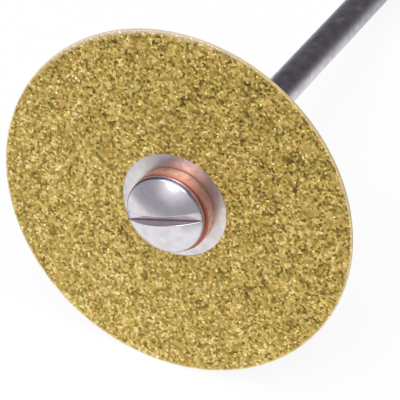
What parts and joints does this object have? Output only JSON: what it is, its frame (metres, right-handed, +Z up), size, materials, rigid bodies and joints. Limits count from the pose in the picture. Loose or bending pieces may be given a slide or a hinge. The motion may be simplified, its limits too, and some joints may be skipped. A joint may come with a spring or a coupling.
{
  "type": "diamond cutting disc",
  "caption": "Thin diamond-coated cutting disc clamped on a screw mandrel by a slotted domed screw and a copper washer.",
  "frame": {"origin": "on the surface it lies on, under the middle of its box", "axes": "+Z up, +Y the way the shank points along the surface, the disc's face with the screw towards -Y"},
  "size_m": [0.025, 0.0466, 0.0242],
  "materials": {
    "diamond_coat": "gold-coloured diamond grit bonded to thin steel, glittering, with a bare polished centre ring",
    "copper": "satin copper",
    "screw_steel": "polished steel",
    "shank_steel": "ground and polished steel"
  },
  "bodies": {
    "root": {"diamond_disc": "diamond_coat", "copper_washer": "copper", "clamp_screw": "screw_steel", "mandrel": "shank_steel"}
  },
  "joints": []
}
